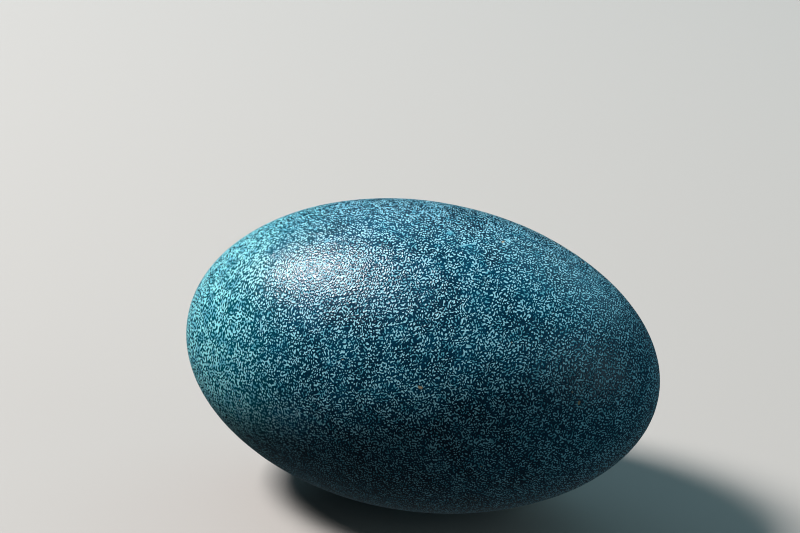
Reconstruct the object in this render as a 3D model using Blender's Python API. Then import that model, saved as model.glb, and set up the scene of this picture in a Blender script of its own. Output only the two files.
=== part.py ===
"""An emu egg lying on its side, at rest on a small flat spot.

Run it with: blender --background --python part.py
Metres, +Z up. The egg's long axis lies almost along X, with the slimmer end towards +X.
The origin is on the surface that the egg rests on, under the middle of the egg.
"""

import math

import bmesh
import bpy

# Driving dimensions.
LENGTH = 0.137  # from tip to tip, along the egg's own axis
BREADTH = 0.0864  # across the middle
TAPER = 0.020  # how much slimmer one half is than the other, as a share of the radius
SLIMNESS = 0.021  # how much slimmer both ends are than an ellipsoid's, as a share of the radius
SPOT_DEPTH = 0.0003  # how far the flat resting spot is cut into the underside

# How finely the curved surface is divided into facets.
RINGS = 46  # from tip to tip
SEGMENTS = 84  # around the egg

SHELL_COLOUR = (0.010, 0.085, 0.105, 1.0)
SHELL_ROUGHNESS = 0.42

GROUND_SIZE = 0.2  # side of the block that cuts the resting spot


def clear_scene():
    """Removes whatever the file holds, such as the startup cube."""
    for old in list(bpy.data.objects):
        bpy.data.objects.remove(old)


def meridian(rings):
    """(place along the axis, radius) of each ring, from the slim tip at +X to the blunt tip.

    The rings are at even angles of an ellipse, so they are closest together at the tips.
    """
    points = []
    for ring in range(rings + 1):
        angle = math.pi * ring / rings
        along = math.cos(angle)
        fullness = 1 - TAPER * along - SLIMNESS * along**2
        points.append((LENGTH / 2 * along, BREADTH / 2 * math.sin(angle) * fullness))
    return points


def centre_of_mass(profile):
    """Place of a solid egg's centre of mass on its axis, from thin discs between the rings."""
    volume = moment = 0.0
    for (x_a, r_a), (x_b, r_b) in zip(profile, profile[1:]):
        disc = (x_a - x_b) * (r_a**2 + r_a * r_b + r_b**2)
        volume += disc
        moment += disc * (x_a + x_b) / 2
    return moment / volume


def height_when_tilted(profile, balance, tilt):
    """Height of the centre of mass over the ground, with the slim end tilted down."""
    return max((x - balance) * math.sin(tilt) + r * math.cos(tilt) for x, r in profile)


def resting_tilt(profile, balance):
    """The tilt at which the egg lies still: the one that brings its centre of mass lowest."""
    tilts = (math.radians(step / 100) for step in range(-500, 501))
    return min(tilts, key=lambda tilt: height_when_tilted(profile, balance, tilt))


def egg_mesh():
    """The whole egg about its own axis: the meridian spun once round X."""
    bm = bmesh.new()
    points = [bm.verts.new((x, 0, r)) for x, r in meridian(RINGS)]
    edges = [bm.edges.new(pair) for pair in zip(points, points[1:])]
    bmesh.ops.spin(
        bm, geom=points + edges, cent=(0, 0, 0), axis=(1, 0, 0), angle=math.tau, steps=SEGMENTS
    )
    bmesh.ops.remove_doubles(bm, verts=bm.verts, dist=1e-6)
    bmesh.ops.recalc_face_normals(bm, faces=bm.faces)
    mesh = bpy.data.meshes.new("egg")
    bm.to_mesh(mesh)
    bm.free()
    mesh.shade_smooth()
    return mesh


def shell_material():
    """Granular, satin eggshell in a very dark teal."""
    material = bpy.data.materials.new("shell")
    material.use_nodes = True
    shader = material.node_tree.nodes["Principled BSDF"]
    shader.inputs["Base Color"].default_value = SHELL_COLOUR
    shader.inputs["Roughness"].default_value = SHELL_ROUGHNESS
    shader.inputs["Metallic"].default_value = 0.0
    return material


def ground_cutter():
    """The ground as a block, with its top at Z 0, which cuts the resting spot. It isn't a part."""
    bm = bmesh.new()
    bmesh.ops.create_cube(bm, size=GROUND_SIZE)
    mesh = bpy.data.meshes.new("ground_cutter")
    bm.to_mesh(mesh)
    bm.free()
    ground = bpy.data.objects.new("ground_cutter", mesh)
    ground.location.z = -GROUND_SIZE / 2
    ground.hide_render = True
    ground.display_type = "WIRE"
    bpy.context.scene.collection.objects.link(ground)
    return ground


def lay_down(egg):
    """Tilts the egg as it balances, sinks it by the spot's depth and centres it over the origin."""
    fine = meridian(20 * RINGS)
    balance = centre_of_mass(fine)
    tilt = resting_tilt(fine, balance)
    middle_height = height_when_tilted(fine, 0.0, tilt)
    egg.rotation_euler.y = tilt
    reach = [x * math.cos(tilt) + r * math.sin(tilt) for x, r in fine]
    far_end = [x * math.cos(tilt) - r * math.sin(tilt) for x, r in fine]
    egg.location.x = -(max(reach) + min(far_end)) / 2
    egg.location.z = middle_height - SPOT_DEPTH


def build():
    clear_scene()
    egg = bpy.data.objects.new("egg", egg_mesh())
    egg.data.materials.append(shell_material())
    bpy.context.scene.collection.objects.link(egg)
    lay_down(egg)
    spot = egg.modifiers.new("resting_spot", "BOOLEAN")
    spot.operation = "DIFFERENCE"
    spot.object = ground_cutter()


build()
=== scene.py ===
"""An emu egg lying on its side on a pale studio table.

Metres, +Z up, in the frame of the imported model: the egg's long axis lies almost along X, with
the slimmer end towards +X, and the origin is on the table under the middle of the egg.
"""
import math

import bmesh
import bpy
from mathutils import Matrix, Vector, noise


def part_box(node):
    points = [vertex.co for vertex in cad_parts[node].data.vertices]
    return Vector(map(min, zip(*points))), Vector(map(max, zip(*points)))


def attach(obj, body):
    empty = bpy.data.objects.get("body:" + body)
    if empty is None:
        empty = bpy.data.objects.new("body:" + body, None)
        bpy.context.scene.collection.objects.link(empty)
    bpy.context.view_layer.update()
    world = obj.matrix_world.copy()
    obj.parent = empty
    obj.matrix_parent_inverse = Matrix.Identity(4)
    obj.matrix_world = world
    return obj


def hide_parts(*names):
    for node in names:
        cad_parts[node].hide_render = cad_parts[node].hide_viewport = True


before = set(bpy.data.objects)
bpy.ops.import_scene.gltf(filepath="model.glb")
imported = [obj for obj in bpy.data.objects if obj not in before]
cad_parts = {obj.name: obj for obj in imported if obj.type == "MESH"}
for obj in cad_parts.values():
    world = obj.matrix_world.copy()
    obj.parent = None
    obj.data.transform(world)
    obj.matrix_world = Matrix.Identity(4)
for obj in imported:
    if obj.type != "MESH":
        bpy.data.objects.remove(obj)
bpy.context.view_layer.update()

egg_low, egg_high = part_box("egg")
egg_middle = (egg_low + egg_high) / 2

# The camera. A long lens stands over half a metre away, in front of the egg and towards its slim
# end. It looks down at 25 degrees, and a little over the egg.

VIEW_AZIMUTH = math.radians(19.9)
VIEW_ELEVATION = math.radians(25.0)
VIEW_DISTANCE = 0.6215
AIM_ABOVE = 0.0247  # how far over the middle of the egg the lens points, across the view
AIM_LEFT = 0.0052  # the same to the left
SENSOR_WIDTH = 36.0  # millimetres
FOCAL_LENGTH = 100.0

camera_right = Vector((math.cos(VIEW_AZIMUTH), math.sin(VIEW_AZIMUTH), 0))
camera_away = Vector((-math.sin(VIEW_AZIMUTH), math.cos(VIEW_AZIMUTH), 0))
to_camera = Vector((0, 0, 1)) * math.sin(VIEW_ELEVATION) - camera_away * math.cos(VIEW_ELEVATION)
camera_up = to_camera.cross(camera_right)
aim = egg_middle + camera_up * AIM_ABOVE - camera_right * AIM_LEFT

camera = bpy.data.objects.new("camera", bpy.data.cameras.new("camera"))
camera.data.sensor_width = SENSOR_WIDTH
camera.data.lens = FOCAL_LENGTH
camera.location = egg_middle + to_camera * VIEW_DISTANCE
camera.rotation_euler = (aim - camera.location).to_track_quat("-Z", "Y").to_euler()
bpy.context.scene.collection.objects.link(camera)
bpy.context.scene.camera = camera

# The shell. The whole egg is one closed shell, laid down in the bird as the egg turns, so it is
# round about its long axis, with one end a little slimmer than the other. It lies free on its
# side, at the tilt at which it balances, on the solid's small resting spot.

LENGTH = egg_high.x - egg_low.x
BREADTH = egg_high.y - egg_low.y
TAPER = 0.020  # how much slimmer one half is than the other, as a share of the radius
SLIMNESS = 0.021  # how much slimmer both ends are than an ellipsoid's, as a share of the radius
TILT = math.radians(0.66)  # the slim end is this much lower
SPOT_DEPTH = 0.0003  # how far the resting spot is cut into the underside
CELLS = 129  # quads along each side of the six patches that the shell is meshed from
MERIDIAN_STEPS = 720
PATCH_MARGIN = 0.006  # bare border of each patch in the bake map, as a share of its cell

SWELL_SIZE = 0.020  # broad unevenness of the wall
SWELL_HEIGHT = 0.00008
DIMPLE_SIZE = 0.0024  # shallow dimples between groups of granules
DIMPLE_HEIGHT = 0.00003


def shell_radius(angle):
    """Radius of the egg at an angle of its meridian, from 0 at the slim tip to pi at the blunt one."""
    along = math.cos(angle)
    return BREADTH / 2 * math.sin(angle) * (1 - TAPER * along - SLIMNESS * along**2)


def even_meridian():
    """Angles of the meridian at even distances along the shell, from the slim tip to the blunt one."""
    angles = [math.pi * step / MERIDIAN_STEPS for step in range(MERIDIAN_STEPS + 1)]
    places = [Vector((LENGTH / 2 * math.cos(a), shell_radius(a))) for a in angles]
    travelled = [0.0]
    for here, there in zip(places, places[1:]):
        travelled.append(travelled[-1] + (there - here).length)
    even = []
    segment = 0
    for step in range(MERIDIAN_STEPS + 1):
        target = travelled[-1] * step / MERIDIAN_STEPS
        while segment < MERIDIAN_STEPS - 1 and travelled[segment + 1] < target:
            segment += 1
        share = (target - travelled[segment]) / (travelled[segment + 1] - travelled[segment])
        even.append(angles[segment] + share * (angles[segment + 1] - angles[segment]))
    return even


def shell_point(direction, even):
    """Where a direction from the middle of a sphere lands on the egg, in the egg's own axes."""
    place = math.acos(max(-1.0, min(1.0, direction.x))) / math.pi * MERIDIAN_STEPS
    step = min(int(place), MERIDIAN_STEPS - 1)
    angle = even[step] + (place - step) * (even[step + 1] - even[step])
    radius = shell_radius(angle)
    around = math.atan2(direction.z, direction.y)
    return Vector((LENGTH / 2 * math.cos(angle), radius * math.cos(around), radius * math.sin(around)))


def patch_place(corner, axis, side):
    """Where a corner of the cube lies on its own patch, from -1 to 1 across and along."""
    across, along = ((corner.y, corner.z), (corner.z, corner.x), (corner.y, -corner.x))[axis]
    return across * side, along


def lay_out_patches(bm):
    """Puts the cube's six sides in a grid of three by two cells, which the bakes are made in."""
    bake_map = bm.loops.layers.uv.new("OFBake")
    for face in bm.faces:
        centre = face.calc_center_median()
        axis = max(range(3), key=lambda a: abs(centre[a]))
        side = math.copysign(1, centre[axis])
        cell = Vector((axis, (side + 1) / 2))
        for loop in face.loops:
            place = Vector(patch_place(loop.vert.co, axis, side))
            inside = (place + Vector((1, 1))) / 2 * (1 - 2 * PATCH_MARGIN)
            spot = cell + inside + Vector((PATCH_MARGIN, PATCH_MARGIN))
            loop[bake_map].uv = (spot.x / 3, spot.y / 2)


def unevenness(place):
    """How far the wall stands proud of the smooth egg at a place on it."""
    swell = noise.noise(place / SWELL_SIZE) * SWELL_HEIGHT
    return swell + noise.noise(place / DIMPLE_SIZE) * DIMPLE_HEIGHT


bm = bmesh.new()
bmesh.ops.create_cube(bm, size=2.0)
bmesh.ops.subdivide_edges(bm, edges=bm.edges[:], cuts=CELLS - 1, use_grid_fill=True)
lay_out_patches(bm)
even_angles = even_meridian()
for vertex in bm.verts:
    warped = Vector(math.tan(c * math.pi / 4) for c in vertex.co)
    vertex.co = shell_point(warped.normalized(), even_angles)
bmesh.ops.transform(bm, matrix=Matrix.Rotation(TILT, 4, "Y"), verts=bm.verts)
bm.normal_update()
lowest = min(vertex.co.z for vertex in bm.verts)
for vertex in bm.verts:
    vertex.co += vertex.normal * unevenness(vertex.co)
    vertex.co.z = max(0.0, vertex.co.z - lowest - SPOT_DEPTH)
shell_mesh = bpy.data.meshes.new("shell")
bm.to_mesh(shell_mesh)
bm.free()
shell_mesh.shade_smooth()
shell = bpy.data.objects.new("shell", shell_mesh)
bpy.context.scene.collection.objects.link(shell)

# Its surface is near-black teal granules, smooth and satin on top, over a pale turquoise layer that
# shows between them as fine flecks. Towards the blunt end the granules stand further apart, so the
# flecks there are coarser. The flecks there are also denser, partly the shell's own and partly painted
# light from the left, and the end is greener, a painted green reflection.

FLECK_SPACING = 0.00070  # from one fleck to the next
COARSE_SPACING = 0.00086  # the same at the blunt end
FLECK_SHARE = 0.265  # share of the surface that isn't covered by granules
SLIM_END_SHARE = 0.03  # what is added to that at each end
# painted light: the extra flecks at the blunt end are partly the shell's own, partly light from the
# left
BLUNT_END_SHARE_AND_PAINTED_LIGHT = 0.22
PATCH_SIZE = 0.009  # patches with more or fewer flecks
MOTTLE_SIZE = 0.0026  # the same, smaller
SHARE_SWING = 0.20  # how much patches and mottle each move the share
SHARE_TO_HEIGHT = 2.6  # roughly turns a share short of a half into the height it lies above
FLECK_EDGE = 0.45  # half the width of a fleck's soft edge, in the grain's height

BLUNT_END_START = -0.016  # along the egg, where the finish of each end starts and is complete
BLUNT_END_FULL = -0.052
SLIM_END_START = 0.020
SLIM_END_FULL = 0.060
END_WANDER = 0.030  # how much patches move those borders

BLOTCH_SIZE = 0.0045  # bare blotches, where a few granules are missing
BLOTCH_START = 0.74  # from here to full, the noise that places them makes a blotch
BLOTCH_FULL = 0.78
BLOTCH_BARENESS = 0.75
SPECK_SIZE = 0.0022  # specks of dirt
SPECK_START = 0.87
SPECK_FULL = 0.89

TONE_START = 0.35  # over the patches, from the dark granules to the light ones
TONE_FULL = 0.65
DIM_START = 0.25  # over the mottle, from the dim layer to the bright one
DIM_FULL = 0.60
THIN_FULL = 0.5  # how bare the shell is where granules are at their thinnest
CLEAR_START = 0.35  # and from where the layer itself begins to show

GRANULE_HEIGHT = 0.000023  # relief for each unit of the grain's height
GRANULE_ROUGHNESS = 0.25
LAYER_ROUGHNESS = 0.38
SPECULAR = 0.29

GRAIN_WAVES = 18
WAVE_BEND = 2.0  # how far the drift bends the waves, in spacings
WAVE_SPREAD = 0.2  # how unlike each other the waves' lengths are
SPREAD_STEP = 5.0  # radians from one wave to the next, in how the lengths vary
PHASE_STEP = 1.7  # and in where the waves start
GOLDEN_ANGLE = math.pi * (3 - math.sqrt(5))  # from the heading of one wave to the next
DRIFT_SCALE = 0.26  # the drift's lumps, for each spacing of the grain

GRANULE_DARK = (0.0, 0.020, 0.042)
GRANULE_LIGHT = (0.0, 0.038, 0.076)
# the green tint of the granules at the blunt end is a painted green reflection
GRANULE_GREEN_WITH_PAINTED_REFLECTION = (0.001, 0.068, 0.088)
GRANULE_BLUE = (0.0, 0.044, 0.084)
THIN_GRANULE = (0.010, 0.15, 0.22)
# painted light at the blunt end: a greener tint that is a painted green reflection, and more red that
# stands in for light from the left
LAYER_GREEN_WITH_PAINTED_LIGHT = (0.26, 0.63, 0.66)
LAYER_DIM = (0.09, 0.34, 0.43)
LAYER_TURQUOISE = (0.28, 0.57, 0.66)
LAYER_BLUE = (0.22, 0.56, 0.68)
SPECK_BROWN = (0.36, 0.27, 0.17)


def add(tree, kind, **settings):
    """A new node of a kind, with its properties set."""
    node = tree.nodes.new(kind)
    for name, value in settings.items():
        setattr(node, name, value)
    return node


def give(tree, socket, value):
    """Sets an input to a number or a colour, or links another node's output to it."""
    if isinstance(value, bpy.types.NodeSocket):
        tree.links.new(value, socket)
    elif isinstance(value, tuple):
        socket.default_value = (*value, 1.0)
    else:
        socket.default_value = value


def calculate(tree, operation, *values):
    """A Math node's result."""
    node = add(tree, "ShaderNodeMath", operation=operation)
    for socket, value in zip(node.inputs, values):
        give(tree, socket, value)
    return node.outputs[0]


def fade(tree, value, low, high, start=0.0, end=1.0):
    """A smooth step from start, where the value is at low, to end, where it is at high."""
    node = add(tree, "ShaderNodeMapRange", interpolation_type="SMOOTHSTEP")
    for name, setting in (
        ("Value", value),
        ("From Min", low),
        ("From Max", high),
        ("To Min", start),
        ("To Max", end),
    ):
        give(tree, node.inputs[name], setting)
    return node.outputs["Result"]


def blend(tree, share, first, second):
    """A mix of two colours."""
    node = add(tree, "ShaderNodeMix", data_type="RGBA")
    for name, setting in (("Factor", share), ("A", first), ("B", second)):
        give(tree, node.inputs[name], setting)
    return node.outputs["Result"]


def grain_group():
    """Short worms and dots, evenly spaced, with no direction and no grid.

    Plane waves run every way through space and are bent by a slow drift. Height is their sum,
    about 0 and with a spread of 1.
    """
    group = bpy.data.node_groups.new("grain", "ShaderNodeTree")
    group.interface.new_socket("Vector", in_out="INPUT", socket_type="NodeSocketVector")
    spacing = group.interface.new_socket("Spacing", in_out="INPUT", socket_type="NodeSocketFloat")
    spacing.default_value = FLECK_SPACING
    bend = group.interface.new_socket("Bend", in_out="INPUT", socket_type="NodeSocketFloat")
    bend.default_value = WAVE_BEND
    group.interface.new_socket("Height", in_out="OUTPUT", socket_type="NodeSocketFloat")
    entry = add(group, "NodeGroupInput")
    leave = add(group, "NodeGroupOutput")
    scaled = add(group, "ShaderNodeVectorMath", operation="SCALE")
    give(group, scaled.inputs[0], entry.outputs["Vector"])
    give(group, scaled.inputs["Scale"], calculate(group, "DIVIDE", 1.0, entry.outputs["Spacing"]))
    drift = add(group, "ShaderNodeTexNoise")
    give(group, drift.inputs["Vector"], scaled.outputs[0])
    give(group, drift.inputs["Scale"], DRIFT_SCALE)
    give(group, drift.inputs["Detail"], 0.0)
    push = add(group, "ShaderNodeVectorMath", operation="SCALE")
    give(group, push.inputs[0], drift.outputs["Color"])
    give(group, push.inputs["Scale"], entry.outputs["Bend"])
    bent = add(group, "ShaderNodeVectorMath", operation="ADD")
    give(group, bent.inputs[0], scaled.outputs[0])
    give(group, bent.inputs[1], push.outputs[0])
    total = 0.0
    for wave in range(GRAIN_WAVES):
        rise = (wave + 0.5) / GRAIN_WAVES
        around = wave * GOLDEN_ANGLE
        reach = math.sqrt(1 - rise**2)
        direction = Vector((reach * math.cos(around), reach * math.sin(around), rise))
        tightness = 1 + WAVE_SPREAD * math.sin(SPREAD_STEP * wave)
        along = add(group, "ShaderNodeVectorMath", operation="DOT_PRODUCT")
        along.inputs[1].default_value = direction * math.tau * tightness
        give(group, along.inputs[0], bent.outputs[0])
        phase = calculate(group, "ADD", along.outputs["Value"], PHASE_STEP * wave)
        total = calculate(group, "ADD", total, calculate(group, "SINE", phase))
    height = calculate(group, "MULTIPLY", total, math.sqrt(2 / GRAIN_WAVES))
    give(group, leave.inputs["Height"], height)
    return group


finish = bpy.data.materials.new("granular_shell")
finish.use_nodes = True
tree = finish.node_tree
principled = tree.nodes["Principled BSDF"]
shell_mesh.materials.append(finish)
place_on_shell = add(tree, "ShaderNodeTexCoord").outputs["Object"]


def clouds(size, detail=0.0):
    """Smooth noise about 0.5, with lumps of a given size in metres."""
    node = add(tree, "ShaderNodeTexNoise")
    give(tree, node.inputs["Vector"], place_on_shell)
    give(tree, node.inputs["Scale"], 1 / size)
    give(tree, node.inputs["Detail"], detail)
    return node.outputs["Fac"]


def grain(spacing):
    """The height of the grain, at a spacing in metres."""
    node = add(tree, "ShaderNodeGroup", node_tree=grain_nodes)
    give(tree, node.inputs["Vector"], place_on_shell)
    give(tree, node.inputs["Spacing"], spacing)
    return node.outputs["Height"]


def varied(value, pattern, amount):
    """A value that a pattern about 0.5 pushes up and down."""
    return calculate(tree, "MULTIPLY_ADD", calculate(tree, "SUBTRACT", pattern, 0.5), amount, value)


grain_nodes = grain_group()
patches = clouds(PATCH_SIZE, detail=2.0)
mottle = clouds(MOTTLE_SIZE)
axes = add(tree, "ShaderNodeSeparateXYZ")
give(tree, axes.inputs[0], place_on_shell)
along_egg = varied(axes.outputs["X"], patches, END_WANDER)
blunt_end = fade(tree, along_egg, BLUNT_END_START, BLUNT_END_FULL)
slim_end = fade(tree, along_egg, SLIM_END_START, SLIM_END_FULL)

share = varied(varied(FLECK_SHARE, patches, SHARE_SWING), mottle, SHARE_SWING)
# more flecks towards the blunt end: partly the shell's own, partly painted light from the left
share = calculate(tree, "MULTIPLY_ADD", blunt_end, BLUNT_END_SHARE_AND_PAINTED_LIGHT, share)
share = calculate(tree, "MULTIPLY_ADD", slim_end, SLIM_END_SHARE, share)
short_of_half = calculate(tree, "SUBTRACT", 0.5, share)
threshold = calculate(tree, "MULTIPLY", short_of_half, SHARE_TO_HEIGHT)
fine = grain(FLECK_SPACING)
coarse = grain(COARSE_SPACING)
to_coarse = calculate(tree, "SUBTRACT", coarse, fine)
height = calculate(tree, "ADD", fine, calculate(tree, "MULTIPLY", blunt_end, to_coarse))
edge_low = calculate(tree, "SUBTRACT", threshold, FLECK_EDGE)
edge_high = calculate(tree, "ADD", threshold, FLECK_EDGE)
flecks = fade(tree, height, edge_low, edge_high)
blotches = fade(tree, clouds(BLOTCH_SIZE, detail=1.0), BLOTCH_START, BLOTCH_FULL)
bare = calculate(tree, "MAXIMUM", flecks, calculate(tree, "MULTIPLY", blotches, BLOTCH_BARENESS))
specks = fade(tree, clouds(SPECK_SIZE), SPECK_START, SPECK_FULL)

granules = blend(tree, fade(tree, patches, TONE_START, TONE_FULL), GRANULE_DARK, GRANULE_LIGHT)
# greener granules and layer at the blunt end: a painted green reflection, with painted light from the
# left in the layer
granules = blend(tree, blunt_end, blend(tree, slim_end, granules, GRANULE_BLUE), GRANULE_GREEN_WITH_PAINTED_REFLECTION)
layer = blend(tree, blunt_end, blend(tree, slim_end, LAYER_TURQUOISE, LAYER_BLUE), LAYER_GREEN_WITH_PAINTED_LIGHT)
layer = blend(tree, fade(tree, mottle, DIM_START, DIM_FULL), LAYER_DIM, layer)
thinned = blend(tree, fade(tree, bare, 0.0, THIN_FULL), granules, THIN_GRANULE)
clean = blend(tree, fade(tree, bare, CLEAR_START, 1.0), thinned, layer)
surface = blend(tree, specks, clean, SPECK_BROWN)
give(tree, principled.inputs["Base Color"], surface)
roughness = fade(tree, flecks, 0.0, 1.0, GRANULE_ROUGHNESS, LAYER_ROUGHNESS)
give(tree, principled.inputs["Roughness"], roughness)
give(tree, principled.inputs["Specular IOR Level"], SPECULAR)
bump = add(tree, "ShaderNodeBump", invert=True)
give(tree, bump.inputs["Distance"], GRANULE_HEIGHT)
give(tree, bump.inputs["Height"], height)
give(tree, principled.inputs["Normal"], bump.outputs["Normal"])

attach(shell, "root")
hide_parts("egg")

# The table and the studio light. The table is a plain pale board, hidden from the rays that leave
# the egg, so that it neither lights the underside nor shows in the shell. A softbox stands high at
# the left, where it lights the blunt end most. Weaker, bluer ones stand behind and at the right.

TABLE_SIZE = 4.0
TABLE_COLOUR = (0.40, 0.355, 0.325)
TABLE_ROUGHNESS = 0.9
BACKDROP_COLOUR = (0.7, 0.92, 1.0)
BACKDROP_STRENGTH = 0.06
FILTER_WIDTH = 1.0  # narrow, which keeps the grain crisp

bm = bmesh.new()
bmesh.ops.create_grid(bm, x_segments=1, y_segments=1, size=TABLE_SIZE / 2)
table_mesh = bpy.data.meshes.new("table")
bm.to_mesh(table_mesh)
bm.free()
table = bpy.data.objects.new("table", table_mesh)
bpy.context.scene.collection.objects.link(table)
table_finish = bpy.data.materials.new("table")
table_finish.use_nodes = True
table_surface = table_finish.node_tree.nodes["Principled BSDF"]
give(table_finish.node_tree, table_surface.inputs["Base Color"], TABLE_COLOUR)
give(table_finish.node_tree, table_surface.inputs["Roughness"], TABLE_ROUGHNESS)
table_mesh.materials.append(table_finish)
table.visible_diffuse = False
table.visible_glossy = False


def softbox(name, toward, distance, size, watts, colour):
    """A square soft light that faces the egg, from a direction to the right, away and up."""
    lamp = bpy.data.objects.new(name, bpy.data.lights.new(name, "AREA"))
    lamp.data.size = size
    lamp.data.energy = watts
    lamp.data.color = colour
    side, away, up = toward
    direction = side * camera_right + away * camera_away + up * Vector((0, 0, 1))
    lamp.location = egg_middle + distance * direction.normalized()
    lamp.rotation_euler = (egg_middle - lamp.location).to_track_quat("-Z", "Y").to_euler()
    bpy.context.scene.collection.objects.link(lamp)


softbox(
    "key",
    toward=(-0.60, 0.15, 0.785),
    distance=2.5,
    size=0.7,
    watts=122,
    colour=(0.95, 0.98, 1.0),
)
softbox(
    "back",
    toward=(-0.25, 0.75, 0.60),
    distance=1.5,
    size=1.2,
    watts=5,
    colour=(0.4, 0.78, 1.0),
)
softbox(
    "right",
    toward=(0.55, 0.55, 0.60),
    distance=1.5,
    size=1.2,
    watts=4.5,
    colour=(0.4, 0.85, 1.0),
)
softbox(
    "low_right",
    toward=(0.80, -0.40, 0.30),
    distance=1.5,
    size=1.2,
    watts=3.5,
    colour=(0.65, 0.92, 1.0),
)

world = bpy.data.worlds.new("studio")
world.use_nodes = True
backdrop = world.node_tree.nodes["Background"]
give(world.node_tree, backdrop.inputs["Color"], BACKDROP_COLOUR)
give(world.node_tree, backdrop.inputs["Strength"], BACKDROP_STRENGTH)
bpy.context.scene.world = world
bpy.context.scene.view_settings.view_transform = "Standard"
bpy.context.scene.cycles.filter_width = FILTER_WIDTH
